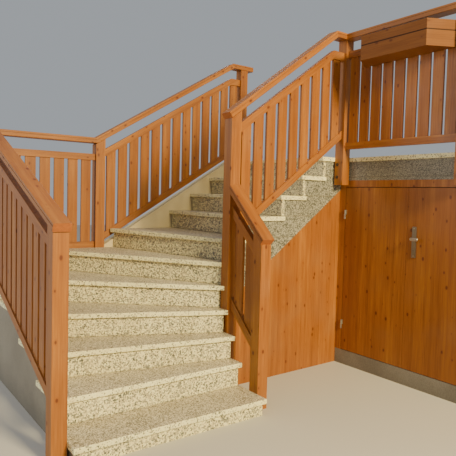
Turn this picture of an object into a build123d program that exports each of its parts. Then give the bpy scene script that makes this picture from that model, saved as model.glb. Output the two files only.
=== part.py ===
from build123d import *
import math
import os

os.makedirs("parts", exist_ok=True)

# Granite stone steps with a quarter turn of winders, a balcony landing with a
# store room under it, and post and slat railings in wood decor.
# The origin is the foot of the inner newel, the post in the inside corner.
# X runs back down the lower flight, Y runs up the upper flight, Z is up.

# Heights of the steps
step_count = 11
lower_steps = 6
panel_step = 4
string_step = 5
joint_step = 8
riser = 175.0
first_riser = 120.0
tread_thick = 35.0
riser_thick = 30.0
nose_overhang = 25.0
end_overhang = 16.0
nose_round = 5.0

# Plan of the steps: runs along the inner and the outer edge, measured from each
# corner of the turn, positive on the lower flight and negative on the upper one
post_width = 90.0
lower_width = 1344.0
upper_width = 1391.0
going = 242.0
newel_spacing = 1236.0
last_nosing_back = 201.0
inner_runs = [564.0, 284.0, 193.0, 100.0, 45.0, 0.0, -72.0]
outer_runs = [1918.0, 1641.0, 1299.0, 901.0, 291.0, -469.0, -1059.0]

# Masonry, claddings and landing
cheek_thick = 60.0
cladding_thick = 20.0
string_drop = 476.0
landing_depth = 1016.0
deck_thick = 164.0
fascia_thick = 40.0
wall_thick = 150.0
panel_thick = 22.0
top_tread_depth = 300.0
floor_slabs = 4
slab_joint = 4.0
balcony_bay = 1131.0
balcony_bays = 2

# Store room and its double door
threshold_height = 130.0
door_gap = 5.0
meeting_gap = 6.0
meeting_bevel = 3.0
door_leaf_width = 632.5
door_thick = 40.0
jamb_width = 66.0
frame_depth = 90.0
frame_head = 59.0
hinge_radius = 7.0
hinge_length = 80.0
hinge_plate_thick = 2.0
hinge_plate_width = 12.0
hinge_low = 365.0
hinge_high = 1365.0
hinge_slit = 0.5
handle_back_set = 70.0
handle_height = 1172.0
handle_plate_width = 36.0
handle_plate_length = 248.0
handle_plate_thick = 8.0
handle_plate_round = 4.0
lever_above_middle = 26.0
lever_length = 60.0
lever_height = 26.0
lever_thick = 15.0
lever_round = 6.0
lever_stand_off = 30.0
neck_radius = 9.0
neck_gap = 0.5
lock_below_lever = 92.0
lock_radius = 8.5
lock_tail_radius = 5.0
lock_drop = 19.5
lock_stand = 2.0

# Railings
rail_width = 40.0
rail_height = 58.0
slat_width = 88.0
slat_thick = 20.0
slat_gap = 30.0
slat_let_in = 12.0
handrail_width = 105.0
handrail_thick = 50.0
handrail_round = 6.0
cap_joint_drop = 16.0
cap_joint_height = 4.0
cap_joint_depth = 4.0
rail_drop = 98.0
end_projection = 72.0
post_below_deck = 243.0

low_slope = 0.96
outer_top = 2008.0
landing_top = 2941.0
landing_rail = 71.0
outer_newel_back = 151.0
outer_newel_top = 1364.0
outer_knee_back = 202.0
turn_post_y = -434.0
low_newel_back = 148.0
low_newel_top = 1279.0
left_knee_back = 160.0
left_overhang = 115.0
outer_panel = 1082.0
turn_panel = 1015.0
left_panel = 1002.0
low_panel = 932.0
inner_panel = 1004.0
left_wall_drop = 40.0

# Flower box on the balcony railing
box_front = 585.0
box_centre_x = 642.0
box_depth = 209.0
box_height = 193.0
box_drop = 319.0
box_wall = 20.0
box_splay = 61.0
box_groove = 4.0
box_board = 116.0

# Distance within which an edge counts as lying on a plane
on_plane = 0.01


def level(k):
    """Top of tread k above the ground."""
    return first_riser + (k - 1) * riser


# Planes that the whole stair is set out from
inner_x = -post_width / 2
inner_y = -post_width / 2
left_x = inner_x - upper_width
outer_y = inner_y - lower_width
slab_front = newel_spacing + post_width / 2
face_y = slab_front + end_overhang
string_x = inner_x - end_overhang
back_y = face_y + landing_depth
landing_z = level(step_count)
deck_top = landing_z - tread_thick
deck_bottom = deck_top - deck_thick
last_nosing_y = newel_spacing - last_nosing_back
right_post_x = balcony_bays * balcony_bay
balcony_end = right_post_x + post_width / 2 - end_overhang
post_x = left_x - post_width / 2
post_y = outer_y - post_width / 2
outer_newel_x = left_x + outer_runs[0] - outer_newel_back
low_newel_x = inner_x + inner_runs[0] - low_newel_back
step_back = nose_overhang + riser_thick


def run_point(run, corner_x, corner_y):
    """Point on an edge of the stair at a run from its corner."""
    if run >= 0:
        return Vector(corner_x + run, corner_y)
    return Vector(corner_x, corner_y - run)


def nosing_plane(k, back):
    """Upright plane along the nosing of step k, set back and facing up the stair."""
    if k <= len(inner_runs):
        inner = run_point(inner_runs[k - 1], inner_x, inner_y)
        outer = run_point(outer_runs[k - 1], left_x, outer_y)
    else:
        nosing_y = last_nosing_y - (step_count - k) * going
        inner = Vector(inner_x, nosing_y)
        outer = Vector(left_x, nosing_y)
    along = (outer - inner).normalized()
    uphill = Vector(along.Y, -along.X)
    start = inner + uphill * back
    return Plane(origin=start, x_dir=along, z_dir=uphill)


front_x = inner_x + inner_runs[0] + post_width


def stair_outline(right, inner, outer, left, back):
    """Corners of the L-shaped plan, each side moved in by its own amount."""
    return [
        (front_x, inner_y - inner),
        (front_x, outer_y + outer),
        (left_x + left, outer_y + outer),
        (left_x + left, back),
        (inner_x - right, back),
        (inner_x - right, inner_y - inner),
    ]


tread_outline = stair_outline(0, 0, 0, 0, slab_front + end_overhang + post_width)
riser_outline = stair_outline(end_overhang, end_overhang, end_overhang, end_overhang, face_y)
cheek_inset = end_overhang + cheek_thick
core_outline = stair_outline(end_overhang + cladding_thick, end_overhang, cheek_inset, cheek_inset, face_y)

# Granite treads, each under the riser that stands on its back edge
with BuildPart() as treads:
    for k in range(1, step_count + 1):
        front = nosing_plane(k, 0)
        with BuildSketch(Plane.XY.offset(level(k) - tread_thick)):
            with BuildLine():
                Polyline(*tread_outline, close=True)
            make_face()
            split(bisect_by=front, keep=Keep.TOP)
            if k < step_count:
                split(bisect_by=nosing_plane(k + 1, step_back), keep=Keep.BOTTOM)
            else:
                split(bisect_by=nosing_plane(k, top_tread_depth), keep=Keep.BOTTOM)
        extrude(amount=tread_thick)
        slab_edges = treads.edges().filter_by_position(Axis.Z, level(k) - tread_thick, level(k))
        nose = slab_edges.filter_by(lambda e: abs(front.to_local_coords(e.center()).Z) < on_plane)
        fillet(nose.filter_by(Axis.Z, reverse=True), radius=nose_round)
treads.part.label = "treads"
export_step(treads.part, "parts/treads.step")

# Granite riser slabs, each on the tread below it
with BuildPart() as risers:
    for k in range(1, step_count + 1):
        foot = level(k - 1) if k > 1 else 0
        with BuildSketch(Plane.XY.offset(foot)):
            with BuildLine():
                Polyline(*riser_outline, close=True)
            make_face()
            split(bisect_by=nosing_plane(k, nose_overhang), keep=Keep.TOP)
            split(bisect_by=nosing_plane(k, step_back), keep=Keep.BOTTOM)
        extrude(amount=level(k) - tread_thick - foot)
risers.part.label = "risers"
export_step(risers.part, "parts/risers.step")

# Concrete of the winding lower flight, stepped under the treads
with BuildPart() as lower_core:
    for k in range(1, lower_steps + 1):
        with BuildSketch():
            with BuildLine():
                Polyline(*core_outline, close=True)
            make_face()
            split(bisect_by=nosing_plane(k, step_back), keep=Keep.TOP)
            split(bisect_by=nosing_plane(k + 1, step_back), keep=Keep.BOTTOM)
        extrude(amount=level(k) - tread_thick)
lower_core.part.label = "lower_core"
export_step(lower_core.part, "parts/lower_core.step")

# Concrete of the upper flight, up to the wall of the store room
with BuildPart() as upper_core:
    for k in range(lower_steps + 1, step_count + 1):
        with BuildSketch():
            with BuildLine():
                Polyline(*core_outline, close=True)
            make_face()
            split(bisect_by=nosing_plane(k, step_back), keep=Keep.TOP)
            if k < step_count:
                split(bisect_by=nosing_plane(k + 1, step_back), keep=Keep.BOTTOM)
        extrude(amount=level(k) - tread_thick)
upper_core.part.label = "upper_core"
export_step(upper_core.part, "parts/upper_core.step")

# Rendered cheek walls along the outer and the left side of the stair
cheek_x = left_x + end_overhang
cheek_y = outer_y + end_overhang
cheek_outline = [
    (front_x, cheek_y),
    (cheek_x, cheek_y),
    (cheek_x, face_y),
    (cheek_x + cheek_thick, face_y),
    (cheek_x + cheek_thick, cheek_y + cheek_thick),
    (front_x, cheek_y + cheek_thick),
]
with BuildPart() as cheek_walls:
    for k in range(1, step_count + 1):
        with BuildSketch():
            with BuildLine():
                Polyline(*cheek_outline, close=True)
            make_face()
            split(bisect_by=nosing_plane(k, step_back), keep=Keep.TOP)
            if k < step_count:
                split(bisect_by=nosing_plane(k + 1, step_back), keep=Keep.BOTTOM)
        extrude(amount=level(k) - tread_thick)
cheek_walls.part.label = "cheek_walls"
export_step(cheek_walls.part, "parts/cheek_walls.step")

# Plane of the diagonal joint between the stone string and the decor panel
flight_slope = riser / going
joint_z = level(joint_step) - string_drop
joint_y = last_nosing_y - (step_count - joint_step) * going
string_joint = Plane(
    origin=(0, joint_y, joint_z),
    x_dir=(1, 0, 0),
    z_dir=Vector(0, -flight_slope, 1).normalized(),
)
side_strip = [
    (string_x - cladding_thick, inner_y - end_overhang),
    (string_x, inner_y - end_overhang),
    (string_x, face_y),
    (string_x - cladding_thick, face_y),
]

# Stone string on the open side of the upper flight, sawn to the steps
with BuildPart() as stone_string:
    for k in range(string_step, step_count + 1):
        with BuildSketch():
            with BuildLine():
                Polyline(*side_strip, close=True)
            make_face()
            split(bisect_by=nosing_plane(k, step_back), keep=Keep.TOP)
            if k < step_count:
                split(bisect_by=nosing_plane(k + 1, step_back), keep=Keep.BOTTOM)
        extrude(amount=level(k) - tread_thick)
    split(bisect_by=string_joint, keep=Keep.TOP)
stone_string.part.label = "stone_string"
export_step(stone_string.part, "parts/stone_string.step")

# Wood decor panel under the string
with BuildPart() as side_panel:
    for k in range(panel_step, step_count + 1):
        with BuildSketch():
            with BuildLine():
                Polyline(*side_strip, close=True)
            make_face()
            split(bisect_by=nosing_plane(k, step_back), keep=Keep.TOP)
            if k < step_count:
                split(bisect_by=nosing_plane(k + 1, step_back), keep=Keep.BOTTOM)
        extrude(amount=level(k) - tread_thick)
    split(bisect_by=string_joint, keep=Keep.BOTTOM)
side_panel.part.label = "side_panel"
export_step(side_panel.part, "parts/side_panel.step")

# Concrete deck of the landing and balcony, behind the fascia
wall_left = left_x + end_overhang
with BuildPart() as landing_deck:
    with BuildSketch(Plane.XY.offset(deck_bottom)):
        with BuildLine():
            Polyline(
                (wall_left, face_y),
                (string_x - cladding_thick, face_y),
                (string_x - cladding_thick, face_y + fascia_thick),
                (balcony_end - fascia_thick, face_y + fascia_thick),
                (balcony_end - fascia_thick, back_y),
                (wall_left, back_y),
                close=True,
            )
        make_face()
    extrude(amount=deck_thick)
landing_deck.part.label = "landing_deck"
export_step(landing_deck.part, "parts/landing_deck.step")

# Stone chip fascia along the front and the free end of the deck
with BuildPart() as fascia:
    with BuildSketch(Plane.XY.offset(deck_bottom)):
        with BuildLine():
            Polyline(
                (string_x - cladding_thick, face_y),
                (balcony_end, face_y),
                (balcony_end, back_y),
                (balcony_end - fascia_thick, back_y),
                (balcony_end - fascia_thick, face_y + fascia_thick),
                (string_x - cladding_thick, face_y + fascia_thick),
                close=True,
            )
        make_face()
    extrude(amount=deck_thick)
fascia.part.label = "fascia"
export_step(fascia.part, "parts/fascia.step")

# Granite floor of the landing behind its first slab, laid in slabs with open joints
floor_end = balcony_end + end_overhang
slab_pitch = (floor_end - left_x + slab_joint) / floor_slabs
joint_places = [(left_x + i * slab_pitch - slab_joint / 2, back_y) for i in range(1, floor_slabs)]
with BuildPart() as landing_floor:
    with BuildSketch(Plane.XY.offset(deck_top)):
        with BuildLine():
            Polyline(
                (left_x, last_nosing_y + top_tread_depth),
                (inner_x, last_nosing_y + top_tread_depth),
                (inner_x, slab_front),
                (floor_end, slab_front),
                (floor_end, back_y),
                (left_x, back_y),
                close=True,
            )
        make_face()
        with Locations(*joint_places):
            Rectangle(slab_joint, 2 * (back_y - last_nosing_y), mode=Mode.SUBTRACT)
    extrude(amount=tread_thick)
landing_floor.part.label = "landing_floor"
export_step(landing_floor.part, "parts/landing_floor.step")

# Walls of the store room, from the ground to the deck
room_back = back_y - wall_thick
room_right = balcony_end - wall_thick
door_left = string_x + jamb_width
door_span = 2 * (door_leaf_width + door_gap) + meeting_gap
door_right = door_left + door_span
frame_right = door_right + jamb_width
wall_boxes = {
    "store_back_wall": (wall_left, room_back, balcony_end, back_y),
    "store_left_wall": (wall_left, face_y, wall_left + wall_thick, room_back),
    "store_right_wall": (room_right, face_y + panel_thick, balcony_end, room_back),
    "store_front_wall": (frame_right, face_y + panel_thick, room_right, face_y + panel_thick + wall_thick),
}
for name, (x0, y0, x1, y1) in wall_boxes.items():
    with BuildPart() as wall:
        with BuildSketch():
            with Locations(((x0 + x1) / 2, (y0 + y1) / 2)):
                Rectangle(x1 - x0, y1 - y0)
        extrude(amount=deck_bottom)
    wall.part.label = name
    export_step(wall.part, f"parts/{name}.step")

# Wood decor panel beside the door
with BuildPart() as front_panel:
    with BuildSketch():
        with Locations(((frame_right + balcony_end) / 2, face_y + panel_thick / 2)):
            Rectangle(balcony_end - frame_right, panel_thick)
    extrude(amount=deck_bottom)
front_panel.part.label = "front_panel"
export_step(front_panel.part, "parts/front_panel.step")

# Threshold and floor of the store room
with BuildPart() as store_floor:
    with BuildSketch():
        with BuildLine():
            Polyline(
                (string_x - cladding_thick, face_y),
                (frame_right, face_y),
                (frame_right, face_y + panel_thick + wall_thick),
                (room_right, face_y + panel_thick + wall_thick),
                (room_right, room_back),
                (wall_left + wall_thick, room_back),
                (wall_left + wall_thick, face_y),
                close=True,
            )
        make_face()
    extrude(amount=threshold_height)
store_floor.part.label = "store_floor"
export_step(store_floor.part, "parts/store_floor.step")

# Door frame: two jambs and a head, on the threshold and under the deck
frame_left = string_x - cladding_thick
frame_height = deck_bottom - threshold_height
with BuildPart() as door_frame:
    with BuildSketch(Plane.XZ.offset(-face_y)):
        with Locations(((frame_left + frame_right) / 2, threshold_height + frame_height / 2)):
            Rectangle(frame_right - frame_left, frame_height)
        with Locations((door_left + door_span / 2, threshold_height + (frame_height - frame_head) / 2)):
            Rectangle(door_span, frame_height - frame_head, mode=Mode.SUBTRACT)
    extrude(amount=-frame_depth)
door_frame.part.label = "door_frame"
export_step(door_frame.part, "parts/door_frame.step")

# Two door leaves, flush with the frame, opening outwards, their meeting edges bevelled
leaf_bottom = threshold_height + door_gap
leaf_height = frame_height - frame_head - 2 * door_gap
leaf_hangings = {
    "left_door": (door_left + door_gap, 1),
    "right_door": (door_right - door_gap, -1),
}
for name, (hung_x, towards) in leaf_hangings.items():
    free_x = hung_x + towards * door_leaf_width
    with BuildPart() as leaf:
        with BuildSketch(Plane.XY.offset(leaf_bottom)):
            with BuildLine():
                Polyline(
                    (hung_x, face_y),
                    (free_x, face_y),
                    (free_x - towards * meeting_bevel, face_y + door_thick),
                    (hung_x, face_y + door_thick),
                    close=True,
                )
            make_face()
        extrude(amount=leaf_height)
    leaf.part.label = name
    export_step(leaf.part, f"parts/{name}.step")

# Hinges: the lower half of each barrel is fixed to the frame, the upper half to the leaf
hinge_y = face_y - hinge_radius
left_pin_x = door_left + door_gap / 2
right_pin_x = door_right - door_gap / 2
hinge_centres = (hinge_low, hinge_high)
half_barrel = (hinge_length - hinge_slit) / 2


def hinge_plan(pin_x, towards):
    """Centre of the plate that joins a barrel at pin_x on one side of it."""
    return (pin_x + towards * (door_gap / 2 + hinge_plate_width / 2), face_y - hinge_plate_thick / 2)


with BuildPart() as frame_hinges:
    for height in hinge_centres:
        with BuildSketch(Plane.XY.offset(height - hinge_length / 2)):
            for pin_x, towards in ((left_pin_x, -1), (right_pin_x, 1)):
                with Locations((pin_x, hinge_y)):
                    Circle(hinge_radius)
                with Locations(hinge_plan(pin_x, towards)):
                    Rectangle(hinge_plate_width + hinge_radius, hinge_plate_thick)
        extrude(amount=half_barrel)
frame_hinges.part.label = "frame_hinges"
export_step(frame_hinges.part, "parts/frame_hinges.step")

leaf_hinges = {
    "left_door_hinges": (left_pin_x, 1),
    "right_door_hinges": (right_pin_x, -1),
}
for name, (pin_x, towards) in leaf_hinges.items():
    with BuildPart() as hinges:
        for height in hinge_centres:
            with BuildSketch(Plane.XY.offset(height + hinge_slit / 2)):
                with Locations((pin_x, hinge_y)):
                    Circle(hinge_radius)
                with Locations(hinge_plan(pin_x, towards)):
                    Rectangle(hinge_plate_width + hinge_radius, hinge_plate_thick)
            extrude(amount=half_barrel)
    hinges.part.label = name
    export_step(hinges.part, f"parts/{name}.step")

# Long plate of the lock on the right leaf, with the end of the lock cylinder
handle_x = door_right - door_gap - door_leaf_width + handle_back_set
lever_z = handle_height + lever_above_middle
lock_z = lever_z - lock_below_lever
with BuildPart() as door_handle:
    with BuildSketch(Plane.XZ.offset(-face_y)):
        with Locations((handle_x, handle_height)):
            RectangleRounded(handle_plate_width, handle_plate_length, handle_plate_round)
    extrude(amount=handle_plate_thick)
    with BuildSketch(Plane.XZ.offset(-face_y + handle_plate_thick)):
        with Locations((handle_x, lock_z)):
            Circle(lock_radius)
        with Locations((handle_x, lock_z - lock_drop / 2)):
            Rectangle(2 * lock_tail_radius, lock_drop)
        with Locations((handle_x, lock_z - lock_drop)):
            Circle(lock_tail_radius)
    extrude(amount=lock_stand)
door_handle.part.label = "door_handle"
export_step(door_handle.part, "parts/door_handle.step")

# Lever that turns about its neck, in front of the plate and pointing at the hinges
lever_whole = lever_length + lever_height / 2
with BuildPart() as door_lever:
    with BuildSketch(Plane.XZ.offset(-face_y + handle_plate_thick + lever_stand_off)):
        with Locations((handle_x + lever_length - lever_whole / 2, lever_z)):
            SlotOverall(lever_whole, lever_height)
    extrude(amount=lever_thick)
    fillet(door_lever.edges().filter_by(Plane.XZ), radius=lever_round)
    with BuildSketch(Plane.XZ.offset(-face_y + handle_plate_thick + neck_gap)):
        with Locations((handle_x, lever_z)):
            Circle(neck_radius)
    extrude(amount=lever_stand_off - neck_gap)
door_lever.part.label = "door_lever"
export_step(door_lever.part, "parts/door_lever.step")

# Railings: each run is set out along its own line, from its lower end
def run_plane(start, direction):
    """Upright plane through the posts of a run, its X along the run and its Y up."""
    heading = Vector(*direction)
    return Plane(origin=start, x_dir=heading, z_dir=heading.cross(Vector(0, 0, 1)))


# Every run: its plane, and its length between the middles of its posts
outer_plane = run_plane((outer_newel_x, post_y, 0), (-1, 0, 0))
outer_length = outer_newel_x - post_x
turn_plane = run_plane((post_x, post_y, 0), (0, 1, 0))
turn_length = turn_post_y - post_y
left_plane = run_plane((post_x, turn_post_y, 0), (0, 1, 0))
left_length = newel_spacing - turn_post_y
low_plane = run_plane((low_newel_x, 0, 0), (-1, 0, 0))
low_length = low_newel_x
inner_plane = run_plane((0, 0, 0), (0, 1, 0))
inner_length = newel_spacing
balcony_plane = run_plane((0, newel_spacing, 0), (1, 0, 0))
end_plane = run_plane((right_post_x, newel_spacing, 0), (0, 1, 0))
end_length = back_y - post_width / 2 - newel_spacing

# Slopes of the runs, and tops of the handrails at the posts that they start from
outer_slope = (outer_top - outer_newel_top) / (outer_length - outer_knee_back)
left_slope = (landing_top - outer_top) / (left_length - left_knee_back + post_width / 2)
inner_newel_top = landing_top - flight_slope * (last_nosing_y + nose_overhang)
left_start_top = outer_top + left_slope * post_width / 2
landing_foot = landing_z + landing_rail
end_panel = landing_top - landing_foot

infill_runs = {
    "outer_infill": (outer_plane, outer_length, outer_panel, outer_slope, outer_newel_top, outer_top),
    "turn_infill": (turn_plane, turn_length, turn_panel, 0.0, outer_top, outer_top),
    "left_infill": (left_plane, left_length, left_panel, left_slope, left_start_top, landing_top),
    "low_infill": (low_plane, low_length, low_panel, low_slope, low_newel_top, landing_top),
    "inner_infill": (inner_plane, inner_length, inner_panel, flight_slope, inner_newel_top, landing_top),
    "end_infill": (end_plane, end_length, end_panel, 0.0, landing_top, landing_top),
}
for name, (plane, length, panel, slope, head_top, head_max) in infill_runs.items():
    factor = math.hypot(1, slope)
    start = post_width / 2
    stop = length - post_width / 2
    foot_z = head_top + slope * start - panel
    clear = stop - start
    count = round((clear - slat_gap) / (slat_width + slat_gap))
    pitch = (clear - count * slat_width) / (count + 1) + slat_width
    rail_tall = rail_height * factor
    under = handrail_thick * factor + rail_drop + rail_tall
    knee = (head_max - head_top) / slope if slope else 0.0
    foot_end = foot_z + slope * clear
    head_start = head_top + slope * start - under
    head_end = min(head_top + slope * stop, head_max) - under
    with BuildPart() as infill:
        with BuildSketch(plane):
            with BuildLine():
                Polyline(
                    (start, foot_z),
                    (stop, foot_end),
                    (stop, foot_end + rail_tall),
                    (start, foot_z + rail_tall),
                    close=True,
                )
            make_face()
            with BuildLine():
                if 0 < knee < stop:
                    Polyline(
                        (start, head_start),
                        (knee, head_max - under),
                        (stop, head_end),
                        (stop, head_end + rail_tall),
                        (knee, head_max - under + rail_tall),
                        (start, head_start + rail_tall),
                        close=True,
                    )
                else:
                    Polyline(
                        (start, head_start),
                        (stop, head_end),
                        (stop, head_end + rail_tall),
                        (start, head_start + rail_tall),
                        close=True,
                    )
            make_face()
        extrude(amount=rail_width / 2, both=True)
        with BuildSketch(plane):
            for i in range(count):
                s0 = start + pitch - slat_width + i * pitch
                s1 = s0 + slat_width
                feet = [foot_z + slope * (s - start) + rail_tall - slat_let_in for s in (s0, s1)]
                heads = [min(head_top + slope * s, head_max) - under + slat_let_in for s in (s0, s1)]
                with BuildLine():
                    if s0 < knee < s1:
                        Polyline(
                            (s0, feet[0]),
                            (s1, feet[1]),
                            (s1, heads[1]),
                            (knee, head_max - under + slat_let_in),
                            (s0, heads[0]),
                            close=True,
                        )
                    else:
                        Polyline((s0, feet[0]), (s1, feet[1]), (s1, heads[1]), (s0, heads[0]), close=True)
                make_face()
        extrude(amount=slat_thick / 2, both=True)
    infill.part.label = name
    export_step(infill.part, f"parts/{name}.step")

# Level panels of the balcony, one in each bay
balcony_under = handrail_thick + rail_drop + rail_height
balcony_clear = balcony_bay - post_width
balcony_count = round((balcony_clear - slat_gap) / (slat_width + slat_gap))
balcony_gap = (balcony_clear - balcony_count * slat_width) / (balcony_count + 1)
slat_tall = landing_top - balcony_under - landing_foot - rail_height + 2 * slat_let_in
slat_middle = (landing_top - balcony_under + landing_foot + rail_height) / 2
bay_centres = [(i + 0.5) * balcony_bay for i in range(balcony_bays)]
with BuildPart() as balcony_infill:
    with BuildSketch(balcony_plane):
        with Locations(*[(x, landing_foot + rail_height / 2) for x in bay_centres]):
            Rectangle(balcony_clear, rail_height)
        with Locations(*[(x, landing_top - balcony_under + rail_height / 2) for x in bay_centres]):
            Rectangle(balcony_clear, rail_height)
    extrude(amount=rail_width / 2, both=True)
    with BuildSketch(balcony_plane):
        with Locations(*[(x, slat_middle) for x in bay_centres]):
            with GridLocations(slat_width + balcony_gap, 1, balcony_count, 1):
                Rectangle(slat_width, slat_tall)
    extrude(amount=slat_thick / 2, both=True)
balcony_infill.part.label = "balcony_infill"
export_step(balcony_infill.part, "parts/balcony_infill.step")


def under_plane(plane, s, top, slope):
    """Plane of a handrail's underside, through its height top at the place s."""
    foot = plane.from_local_coords((s, top - handrail_thick * math.hypot(1, slope), 0))
    normal = plane.from_local_coords((-slope, 1, 0)) - plane.origin
    return Plane(origin=foot, z_dir=normal.normalized())


# Newels that stand on the ground, cut to the slope of the handrail
newels = {
    "outer_newel": (outer_newel_x, post_y, under_plane(outer_plane, 0, outer_newel_top, outer_slope)),
    "low_newel": (low_newel_x, 0, under_plane(low_plane, 0, low_newel_top, low_slope)),
    "inner_newel": (0, 0, under_plane(inner_plane, 0, inner_newel_top, flight_slope)),
}
for name, (x, y, cut) in newels.items():
    with BuildPart() as newel:
        with BuildSketch():
            with Locations((x, y)):
                Rectangle(post_width, post_width)
        extrude(amount=landing_top)
        split(bisect_by=cut, keep=Keep.BOTTOM)
    newel.part.label = name
    export_step(newel.part, f"parts/{name}.step")

# Corner post from the ground, and the posts fixed to the left side of the stair
left_cut = under_plane(left_plane, 0, left_start_top, left_slope)
post_level = landing_top - handrail_thick
with BuildPart() as corner_post:
    with BuildSketch():
        with Locations((post_x, post_y)):
            Rectangle(post_width, post_width)
    extrude(amount=outer_top - handrail_thick)
corner_post.part.label = "corner_post"
export_step(corner_post.part, "parts/corner_post.step")

with BuildPart() as turn_post:
    with BuildSketch(Plane.XY.offset(level(lower_steps) - post_below_deck)):
        with Locations((post_x, turn_post_y)):
            Rectangle(post_width, post_width)
    extrude(amount=landing_top - level(lower_steps))
    split(bisect_by=left_cut, keep=Keep.BOTTOM)
turn_post.part.label = "turn_post"
export_step(turn_post.part, "parts/turn_post.step")

with BuildPart() as landing_post:
    with BuildSketch(Plane.XY.offset(landing_z - post_below_deck)):
        with Locations((post_x, newel_spacing)):
            Rectangle(post_width, post_width)
    extrude(amount=post_level - landing_z + post_below_deck)
landing_post.part.label = "landing_post"
export_step(landing_post.part, "parts/landing_post.step")

# Rendered wall beside the upper flight, between its posts and under its foot rail
wall_start = turn_post_y + post_width / 2
wall_end = newel_spacing - post_width / 2
wall_top = left_start_top + left_slope * post_width / 2 - left_panel - left_wall_drop
with BuildPart() as left_wall:
    with BuildSketch(Plane.YZ.offset(post_x)):
        with BuildLine():
            Polyline(
                (wall_start, 0),
                (wall_end, 0),
                (wall_end, wall_top + left_slope * (wall_end - wall_start)),
                (wall_start, wall_top),
                close=True,
            )
        make_face()
    extrude(amount=post_width / 2, both=True)
left_wall.part.label = "left_wall"
export_step(left_wall.part, "parts/left_wall.step")

# Posts of the balcony: a row fixed in front of the fascia, and one on the floor at the back
with BuildPart() as balcony_posts:
    with BuildSketch(Plane.XY.offset(landing_z - post_below_deck)):
        with Locations(*[(i * balcony_bay, newel_spacing) for i in range(balcony_bays + 1)]):
            Rectangle(post_width, post_width)
    extrude(amount=post_level - landing_z + post_below_deck)
    with BuildSketch(Plane.XY.offset(landing_z)):
        with Locations((right_post_x, newel_spacing + end_length)):
            Rectangle(post_width, post_width)
    extrude(amount=post_level - landing_z)
balcony_posts.part.label = "balcony_posts"
export_step(balcony_posts.part, "parts/balcony_posts.step")


def lowered_line(points, distance):
    """Line of a handrail's side that runs square below its top line by a distance."""
    drops = []
    for (s0, z0), (s1, z1) in zip(points, points[1:]):
        along = Vector(s1 - s0, z1 - z0).normalized()
        drops.append(Vector(along.Y, -along.X))
    below = [Vector(*points[0]) + drops[0] * distance]
    for point, before, after in zip(points[1:], drops, drops[1:]):
        mitre = (before + after) * (distance / (1 + before.dot(after)))
        below.append(Vector(*point) + mitre)
    below.append(Vector(*points[-1]) + drops[-1] * distance)
    return below


def corner_plane(x, y, turn):
    """Upright mitre plane through a corner post, facing the run that leaves it."""
    return Plane(origin=(x, y, 0), z_dir=Vector(-turn, 1).normalized())


half_rail = handrail_width / 2
longest_end_edge = 1.5 * handrail_width
left_corner = corner_plane(post_x, post_y, 1)
landing_corner = corner_plane(0, newel_spacing, -1)
outer_knee = (outer_top - outer_newel_top) / outer_slope
left_first_knee = turn_length - post_width / 2
left_last_knee = turn_length + (landing_top - left_start_top) / left_slope
inner_knee = (landing_top - inner_newel_top) / flight_slope

# Every sloping handrail: plane, top line, and the planes that cut its ends.
# A groove along each side is the joint between the rail and its cap.
handrails = {
    "outer_handrail": (
        outer_plane,
        [
            (-end_projection, outer_newel_top - outer_slope * end_projection),
            (outer_knee, outer_top),
            (outer_length + half_rail, outer_top),
        ],
        [(left_corner, Keep.BOTTOM)],
    ),
    "left_handrail": (
        turn_plane,
        [
            (-half_rail, outer_top),
            (left_first_knee, outer_top),
            (left_last_knee, landing_top),
            (turn_length + left_length + left_overhang, landing_top),
        ],
        [(left_corner, Keep.TOP)],
    ),
    "low_handrail": (
        low_plane,
        [
            (-end_projection, low_newel_top - low_slope * end_projection),
            (low_length, low_newel_top + low_slope * low_length),
        ],
        [(Plane(origin=(post_width / 2, 0, 0), z_dir=(1, 0, 0)), Keep.TOP)],
    ),
    "inner_handrail": (
        inner_plane,
        [
            (-end_projection, inner_newel_top - flight_slope * end_projection),
            (inner_knee, landing_top),
            (inner_length + half_rail, landing_top),
        ],
        [(landing_corner, Keep.BOTTOM)],
    ),
}
for name, (plane, points, cuts) in handrails.items():
    with BuildPart() as handrail:
        with BuildSketch(plane):
            with BuildLine():
                Polyline(*lowered_line(points, 0), *lowered_line(points, handrail_thick)[::-1], close=True)
            make_face()
        extrude(amount=half_rail, both=True)
        for cut, side in cuts:
            split(bisect_by=cut, keep=side)
        fillet(handrail.edges().filter_by(lambda e: e.length > longest_end_edge), radius=handrail_round)
        for side in (-1, 1):
            with BuildSketch(plane.offset(side * half_rail)):
                with BuildLine():
                    Polyline(
                        *lowered_line(points, cap_joint_drop),
                        *lowered_line(points, cap_joint_drop + cap_joint_height)[::-1],
                        close=True,
                    )
                make_face()
            extrude(amount=-side * cap_joint_depth, mode=Mode.SUBTRACT)
    handrail.part.label = name
    export_step(handrail.part, f"parts/{name}.step")

def balcony_plan(reach):
    """Plan of the balcony handrail, both its ends moved out by a reach."""
    return [
        (-half_rail - reach, newel_spacing - half_rail),
        (right_post_x + half_rail, newel_spacing - half_rail),
        (right_post_x + half_rail, back_y + reach),
        (right_post_x - half_rail, back_y + reach),
        (right_post_x - half_rail, newel_spacing + half_rail),
        (-half_rail - reach, newel_spacing + half_rail),
    ]


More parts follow.
